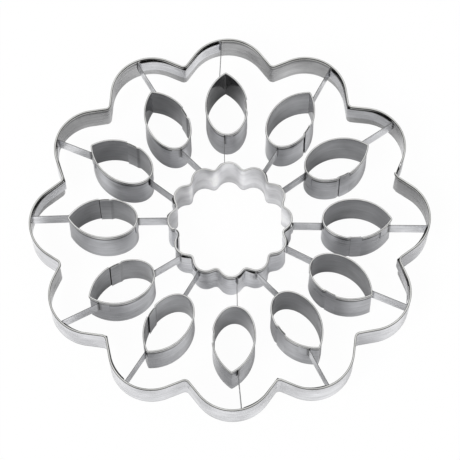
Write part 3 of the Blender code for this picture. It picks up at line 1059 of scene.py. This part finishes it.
@dataclass
class Bracket:
    """A plain strip that holds two neighbouring leaves to a ring.

    Its parts are a tab, a spoke, a run along the ring's wall, a spoke and a tab. A spoke is given by how far
    it lies beside its leaf's radial line at both ends of the span. The run stands off the ring's flanks by up
    to the gap, as bow and ends shape it, and in the notch by the pressed share of that. Its back faces
    against the leaves and the ring are a painted shadow, and its folds and the places where it meets the ring
    are darkened with painted shade.
    """

    name: str
    ring: ScallopedRing
    leaves: tuple[LeafCutter, LeafCutter]
    spokes: tuple[tuple[float, float], tuple[float, float]]
    span: tuple[float, float]
    tab: float
    inside: bool
    finish: StripFinishAndShade
    height: float = 12.0
    clearance: float = 0.3
    fold: float = 1.0
    crease: float = 0.35
    gap: float = 2.2
    pressed: float = 0.15
    fold_reach: float = 1.7
    fold_shadow: float = 1.0
    ring_shadow: float = 0.5
    pitch: float = 1.8
    gauge: float = 0.4
    bow: float = 1.5
    ends: float = 0.2
    closing: float = 0.9
    least_turn: float = 25.0
    bend_points: int = 6
    least_step: float = 0.2
    ring_weld: float = 0.14
    tab_weld: float = 0.5

    @property
    def top(self) -> float:
        """Height of its upper edge, just under the ring's hem."""
        return self.ring.sheet.top - self.ring.sheet.hem_drop - self.clearance

    def crossing(
        self, outline: Array, leaf: LeafCutter, spoke: tuple[float, float], far: bool
    ) -> tuple[Array, int]:
        """Finds where a spoke's line meets a closed outline.

        Args:
            outline: The closed outline.
            leaf: The leaf that the spoke belongs to.
            spoke: How far the spoke lies beside the leaf's radial line at both ends of its span.
            far: Whether the outermost meeting point is wanted, and not the innermost.

        Returns:
            The point, and the number of the outline's edge that it lies on.
        """
        own = turned(outline, -STEP * leaf.number)
        lean = (spoke[1] - spoke[0]) / (self.span[1] - self.span[0])
        beside = own[:, 0] - spoke[0] - lean * (own[:, 1] - self.span[0])
        following = np.roll(beside, -1)
        edges = np.nonzero((beside * following <= 0) & (beside != following))[0]
        found = []
        for edge in edges:
            share = beside[edge] / (beside[edge] - following[edge])
            meet = own[edge] + share * (own[(edge + 1) % len(own)] - own[edge])
            if meet[1] > 0:
                found.append((float(meet[1]), int(edge), meet))
        _, edge, meet = max(found) if far else min(found)
        return turned(np.array([meet]), STEP * leaf.number)[0], edge

    def along(self, outline: Array, point: Array, edge: int, forwards: bool) -> list[Array]:
        """Lays a tab along a closed outline.

        Args:
            outline: The outline.
            point: The point on it where the tab begins.
            edge: The number of the outline's edge that the point lies on.
            forwards: Whether the tab runs the outline's own way.

        Returns:
            The tab's points after the first.
        """
        points = [point]
        index = edge + 1 if forwards else edge
        left = self.tab
        while True:
            target = outline[index % len(outline)]
            gap = float(np.hypot(*(target - points[-1])))
            if gap >= left:
                points.append(points[-1] + (target - points[-1]) * left / gap)
                return points[1:]
            if gap > self.least_step:
                points.append(target)
                left -= gap
            index += 1 if forwards else -1

    def standing_off(self, run: Array) -> Array:
        """Lets the run leave the ring's flanks a little, where the strip wasn't pressed home.

        Args:
            run: The run's points on the ring's wall.

        Returns:
            The points as they stand off.
        """
        share = np.abs(np.linspace(-1, 1, len(run)))
        away = -1.0 if self.inside else 1.0
        pressed = self.pressed + (1 - self.pressed) * share**self.bow
        reach = away * self.gap * pressed * (1 - share) ** self.ends
        return run * (1 + reach / np.hypot(*run.T))[:, None]

    def pressed_home(self, plan: Array) -> Array:
        """Lets both tabs close up with the leaves' walls towards their free ends.

        Args:
            plan: The plan of the strip's middle.

        Returns:
            The plan with its ends closed up.
        """
        run = run_lengths(plan)
        near_end = np.minimum(run, run[-1] - run)
        close = np.clip(1 - near_end / self.tab, 0.0, 1.0) * self.clearance * self.closing
        return plan + mitres(plan) * close[:, None]

    def path(self) -> tuple[Array, tuple[float, float]]:
        """Lays the bracket out in plan, with its folds rounded and its crease in the notch left sharp.

        Returns:
            The plan of its middle, and the runs at which it meets and leaves the ring.
        """
        seat = self.gauge + self.clearance
        low = self.top - self.height
        ring_seat = seat - self.ring.sheet.lean_at(low)
        leaf_seat = seat - self.leaves[0].sheet.lean_at(low)
        wall = self.ring.scallop(0.0 if self.inside else self.ring.fillet)
        wall = offset(wall, -ring_seat if self.inside else ring_seat)
        halves = []
        for leaf, spoke, forwards in zip(self.leaves, self.spokes, (True, False)):
            meet, edge = self.crossing(wall, leaf, spoke, True)
            side = offset(leaf.placed(leaf.outline()), leaf_seat)
            foot, near = self.crossing(side, leaf, spoke, self.inside)
            tab = self.along(side, foot, near, forwards)
            halves.append((meet, edge, [*tab[::-1], *resampled(np.array([foot, meet]), self.pitch)]))
        (ring_one, edge_one, first), (ring_two, edge_two, last) = halves
        stop = edge_two if edge_two > edge_one else edge_two + len(wall)
        run = self.standing_off(np.array([wall[i % len(wall)] for i in range(edge_one + 1, stop + 1)]))
        kept, radii = [first[0]], [self.fold]
        for point, radius in (
            *[(point, self.fold) for point in first[1:]],
            *[(point, self.crease) for point in run],
            *[(point, self.fold) for point in last[::-1]],
        ):
            if np.hypot(*(point - kept[-1])) > self.least_step:
                kept.append(point)
                radii.append(radius)
        plan = rounded(np.array(kept), np.array(radii), self.least_turn, self.bend_points)
        plan = self.pressed_home(plan)
        run = run_lengths(plan)
        meets, leaves = (
            float(run[int(np.argmin(np.hypot(*(plan - fold).T)))]) for fold in (ring_one, ring_two)
        )
        return plan, (meets, leaves)

    def build(self) -> bpy.types.Object:
        """Makes the strip and dresses it.

        Returns:
            The new piece.
        """
        path, (meets, leaves) = self.path()
        length = float(run_lengths(path)[-1])
        middle = self.top - self.height / 2
        reach = (leaves - meets) * self.ring_weld
        near = self.tab * self.tab_weld
        welds = [(run, middle) for run in (near, meets + reach, leaves - reach, length - near)]
        strip = StripMesh(f"{self.name}_strip", welds)
        sheet = Sheet(Hem.NONE, self.top - self.height, self.top, gauge=self.gauge)
        # Back faces against the leaves and the ring get a painted shadow; the tab's inner face takes the tone
        # of the leaf's outer wall.
        backs = (
            Back(0.0, self.tab, Side.OUTER),
            Back(0.0, self.tab - self.fold, Side.INNER, Side.TAB),
            Back(meets, leaves, Side.OUTER if self.inside else Side.INNER),
            Back(length - self.tab, length, Side.OUTER),
            Back(length - self.tab + self.fold, length, Side.INNER, Side.TAB),
        )
        # A painted shadow at both folds, and painted shade where the run meets and leaves the ring.
        shade_patches = tuple(
            ShadePatch(run, self.fold_reach, most, side)
            for run, most in (
                (self.tab, self.fold_shadow),
                (meets, self.ring_shadow),
                (leaves, self.ring_shadow),
                (length - self.tab, self.fold_shadow),
            )
            for side in (Side.OUTER, Side.INNER, Side.RIM)
        )
        strip.sweep(path, sheet.plain(), backs=backs, shade_patches=shade_patches)
        return self.finish.dress(strip.piece(), self.name)


@dataclass
class Studio:
    """Camera, lamp, pale floor and surroundings."""

    elevation: float = 67.99
    azimuth: float = 0.042
    distance: float = 1637.2
    lens: float = 194.2
    sensor: float = 36.0
    clip_end: float = 20.0
    target: tuple[float, float, float] = (0.05, 2.61, 7.4)
    twist: float = 0.757
    floor_size: float = 6.0
    floor_drop: float = 0.0002
    floor_shade: float = 0.85
    camera_share: float = 0.97
    glossy_share: float = 0.10
    sky: float = 0.74
    sky_heights: tuple[float, float] = (0.05, 0.65)
    sky_glints: tuple[float, float] = (0.25, 0.84)
    key_place: tuple[float, float, float] = (-2.4, -2.7, 4.5)
    key_size: float = 2.4
    key_power: float = 210.0

    def camera(self) -> None:
        """Places the camera at the photograph's viewing angle."""
        elevation, azimuth = math.radians(self.elevation), math.radians(self.azimuth)
        across = self.distance * math.cos(elevation)
        plan = np.array([[across * math.sin(azimuth), -across * math.cos(azimuth)], [0.0, 0.0]])
        spot, aim = turned(plan + np.array(self.target[:2]), self.twist)
        eye = Vector((*spot, self.target[2] + self.distance * math.sin(elevation))) * MM
        look = Vector((*aim, self.target[2])) * MM
        data = bpy.data.cameras.new("camera")
        data.lens = self.lens
        data.sensor_width = self.sensor
        data.clip_end = self.clip_end
        bpy.context.scene.camera = self.aimed(data, eye, look)

    def aimed(self, data: bpy.types.ID, place: Vector, look: Vector) -> bpy.types.Object:
        """Puts a camera or a lamp in the scene.

        Args:
            data: The camera's or lamp's data.
            place: Where it is.
            look: The point that it faces.

        Returns:
            The new object.
        """
        node = bpy.data.objects.new(data.name, data)
        node.location = place
        node.rotation_euler = (look - place).to_track_quat("-Z", "Y").to_euler()
        bpy.context.scene.collection.objects.link(node)
        return node

    def floor_material(self) -> bpy.types.Material:
        """Makes a matt pale material that shows white behind the object and dims where it is reflected.

        Returns:
            The material.
        """
        material = bpy.data.materials.new("pale_floor")
        material.use_nodes = True
        graph = Graph(material.node_tree)
        graph.tree.nodes.remove(graph.tree.nodes["Principled BSDF"])
        matt = graph.node("ShaderNodeBsdfDiffuse", Color=(*[self.floor_shade] * 3, 1.0))
        glow = graph.node("ShaderNodeEmission")
        rays = graph.node("ShaderNodeLightPath").outputs
        share = 0.0
        for label, part in (
            ("Is Camera Ray", self.camera_share),
            ("Is Transmission Ray", self.camera_share),
            ("Is Glossy Ray", self.glossy_share),
        ):
            share = graph.math("MULTIPLY_ADD", rays[label], part, share)
        share.node.use_clamp = True
        blend = graph.node("ShaderNodeMixShader", Fac=share)
        graph.put(blend.inputs[1], matt.outputs[0])
        graph.put(blend.inputs[2], glow.outputs[0])
        graph.fill(graph.tree.nodes["Material Output"], Surface=blend.outputs[0])
        return material

    def floor(self) -> None:
        """Lays a large pale floor with a trace of the object's shadow."""
        mesh = bmesh.new()
        bmesh.ops.create_grid(mesh, x_segments=1, y_segments=1, size=self.floor_size)
        data = bpy.data.meshes.new("floor")
        mesh.to_mesh(data)
        mesh.free()
        data.materials.append(self.floor_material())
        floor = bpy.data.objects.new("floor", data)
        floor.location.z = -self.floor_drop
        bpy.context.scene.collection.objects.link(floor)

    def world(self) -> None:
        """Surrounds the object with white light, and lets steel reflect a sky that dims to the horizon."""
        world = bpy.data.worlds.new("studio")
        world.use_nodes = True
        graph = Graph(world.node_tree)
        place = graph.node("ShaderNodeTexCoord")
        split = graph.node("ShaderNodeSeparateXYZ", Vector=place.outputs["Generated"])
        rays = graph.node("ShaderNodeLightPath")
        glint = graph.ramp(split.outputs["Z"], self.sky_heights, self.sky_glints)
        strength = graph.node("ShaderNodeMix", Factor=rays.outputs["Is Glossy Ray"], A=self.sky, B=glint)
        background = graph.tree.nodes["Background"]
        graph.fill(background, Color=(1.0, 1.0, 1.0, 1.0), Strength=strength.outputs["Result"])
        bpy.context.scene.world = world

    def key_lamp(self) -> None:
        """Hangs a soft square lamp that faces the object and doesn't show in its steel."""
        data = bpy.data.lights.new("key", "AREA")
        data.size = self.key_size
        data.energy = self.key_power
        self.aimed(data, Vector(self.key_place), Vector()).visible_glossy = False

    def build(self) -> None:
        """Sets the whole studio up."""
        bpy.context.scene.view_settings.view_transform = "Standard"
        self.camera()
        self.floor()
        self.world()
        self.key_lamp()


@dataclass
class Cutter:
    """The whole cutter, put together from its rings, leaves and brackets.

    Each row of twelve begins with crown 12, leaf 12 or its spoke, and goes on clockwise.
    """

    crown_rises: tuple[float, ...] = (0.0, -0.5, -0.5, 0.0, -1.0, 0.0, 0.0, -0.5, 0.0, 0.0, -1.5, 0.0)
    crown_turns: tuple[float, ...] = (0.0, 0.0, 0.0, -0.3, -0.2, 0.3, -0.2, 0.0, 0.6, -0.3, 0.6, 0.6)
    leaf_turns: tuple[float, ...] = (-1.0, 3.5, 6.5, 1.0, 1.5, -5.0, 4.0, 4.5, 6.0, 1.5, -0.5, 4.0)
    leaf_shifts: tuple[float, ...] = (-1.2, 0.5, -1.4, 0.7, 0.3, -1.9, -1.3, -0.3, -2.4, 1.8, 1.4, 0.3)
    # Painted shade inside each leaf's tip.
    tip_shades: tuple[float, ...] = (0.9, 0.15, 0.1, 0.1, 0.15, 0.2, 0.15, 0.1, 0.0, 0.1, 0.15, 0.3)
    lap_gaps: tuple[float, ...] = (0.3, 0.35, 0.3, 0.06, 0.2, 0.3, 0.3, 0.3, 0.3, 0.3, 0.3, 0.3)
    lap_insets: tuple[float, ...] = (0.85, 0.75, 0.65, 0.5, 0.6, 0.85, 0.85, 0.85, 0.85, 0.85, 0.85, 0.85)
    outer_spokes: tuple[tuple[float, float], ...] = (
        *((-5.5, -4.0), (5.0, 4.5), (-4.0, -5.5), (4.5, 5.0), (-2.5, -5.0), (2.0, 3.5)),
        *((-4.0, -6.0), (3.0, 4.5), (-6.0, -4.5), (5.0, 4.5), (-2.5, -5.5), (5.0, 5.0)),
    )
    inner_spokes: tuple[tuple[float, float], ...] = (
        *((-3.0, -3.0), (1.5, 2.5), (-2.0, -4.0), (2.0, 2.5), (-2.5, -3.0), (3.5, -1.5)),
        *((-4.0, -4.0), (0.5, 1.0), (-4.5, -5.0), (2.5, 2.5), (-3.0, 0.0), (3.0, -2.0)),
    )
    outer_tab: float = 7.0
    inner_tab: float = 6.0
    # Each face is a lighter or darker copy of one steel, painted light and shade of what that face reflects:
    # the ring's and leaves' insides darker, the centre's inside paler, the brackets lighter. The rims are
    # light copies, a painted highlight, and the brackets' edges are a dark painted shadow.
    ring_finish: StripFinishAndShade = StripFinishAndShade(
        "outer_strip",
        FinishAndShade("ring_outside_lit", (0.66, 0.663, 0.685), 0.22),
        FinishAndShade("ring_inside_shaded", (0.50, 0.50, 0.505), 0.22),
        FinishAndShade("ring_rim_lit", (0.74, 0.74, 0.72), 0.17),
    )
    centre_finish: StripFinishAndShade = StripFinishAndShade(
        "centre_strip",
        FinishAndShade("centre_outside_shaded", (0.70, 0.705, 0.735), 0.22),
        FinishAndShade("centre_inside_lit", (0.95, 0.95, 0.97), 0.40, streaks=0.2, cloud=0.6),
        FinishAndShade("centre_rim_lit", (0.82, 0.82, 0.81), 0.26),
    )
    leaf_finish: StripFinishAndShade = StripFinishAndShade(
        "leaf_strip",
        FinishAndShade("leaf_outside_lit", (0.535, 0.54, 0.565), 0.16),
        FinishAndShade("leaf_inside_shaded", (0.505, 0.51, 0.53), 0.14),
        FinishAndShade("leaf_rim_lit", (0.80, 0.80, 0.79), 0.17),
    )
    bracket_finish: StripFinishAndShade = StripFinishAndShade(
        "bracket_strip",
        FinishAndShade("bracket_outside", (0.77, 0.775, 0.80), 0.22, streaks=0.55),
        FinishAndShade("bracket_inside", (0.77, 0.775, 0.80), 0.22, streaks=0.55),
        FinishAndShade("bracket_edge_shadow", (0.24, 0.24, 0.24), 0.30),
        tab=FinishAndShade("leaf_outside_lit", (0.535, 0.54, 0.565), 0.16),
    )

    def rings(self) -> tuple[ScallopedRing, ScallopedRing]:
        """Sizes both rings, with heights and reach from the frame.

        Returns:
            The outer ring and the centre ring.
        """
        low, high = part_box("outer_ring")
        rim = high.z / MM
        outer_sheet = Sheet(
            Hem.INWARD, low.z / MM, rim, hem_gap=0.5, fold_shoulder_shade=1.0, flap_shoulder_shade=1.0, hem_foot_shadow=0.5
        )
        crown = high.y / MM - outer_sheet.gauge / 2 - outer_sheet.lean
        outer = ScallopedRing(
            "outer_ring",
            self.ring_finish,
            outer_sheet,
            LapJoint(inset=1.0),
            crown=crown,
            depth=17.0,
            flank=52.5,
            fillet=3.2,
            seam=74.0,
            lap_shade=1.0,
            rises=self.crown_rises,
            turns=self.crown_turns,
        )
        centre = ScallopedRing(
            "centre_ring",
            self.centre_finish,
            Sheet(Hem.OUTWARD, 0.0, rim, hem_gap=0.5),
            LapJoint(),
            crown=40.2,
            depth=5.2,
            flank=55.0,
            fillet=3.0,
            seam=259.0,
            turn=-0.5,
            pitch=0.8,
            crown_shade=0.28,
        )
        return outer, centre

    def build(self) -> None:
        """Builds every strip."""
        outer, centre = self.rings()
        leaf_sheet = Sheet(
            Hem.OUTWARD,
            0.0,
            outer.sheet.top,
            hem_gap=0.25,
            back_shade_height=24.0,
            back_foot_shade=0.40,
            front_shade_height=24.0,
            front_foot_shade=0.20,
        )
        leaves = [
            LeafCutter(
                f"leaf_cutter_{number or PETALS:02d}",
                self.leaf_finish,
                leaf_sheet,
                LapJoint(inset=self.lap_insets[number], outer_gap=self.lap_gaps[number]),
                number=number,
                turn=self.leaf_turns[number],
                shift=self.leaf_shifts[number],
                tip_shade=self.tip_shades[number],
            )
            for number in range(PETALS)
        ]
        for strip in (outer, centre, *leaves):
            strip.build()
        inner_end = leaves[0].radius - leaves[0].length / 2
        tip = leaves[0].radius + leaves[0].length / 2
        for place, first in enumerate(range(1, PETALS, 2), 1):
            one, two = first % PETALS, (first + 1) % PETALS
            for name, ring, spokes, span, tab in (
                ("outer", outer, self.outer_spokes, (tip, outer.crown), self.outer_tab),
                ("inner", centre, self.inner_spokes, (centre.crown, inner_end), self.inner_tab),
            ):
                Bracket(
                    name=f"{name}_bracket_{place}",
                    ring=ring,
                    leaves=(leaves[one], leaves[two]),
                    spokes=(spokes[one], spokes[two]),
                    span=span,
                    tab=tab,
                    inside=ring is outer,
                    finish=self.bracket_finish,
                ).build()


def main() -> None:
    """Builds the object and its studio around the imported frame."""
    logging.basicConfig(level=logging.INFO, format="%(message)s")
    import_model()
    Cutter().build()
    Studio().build()


if __name__ == "__main__":
    main()
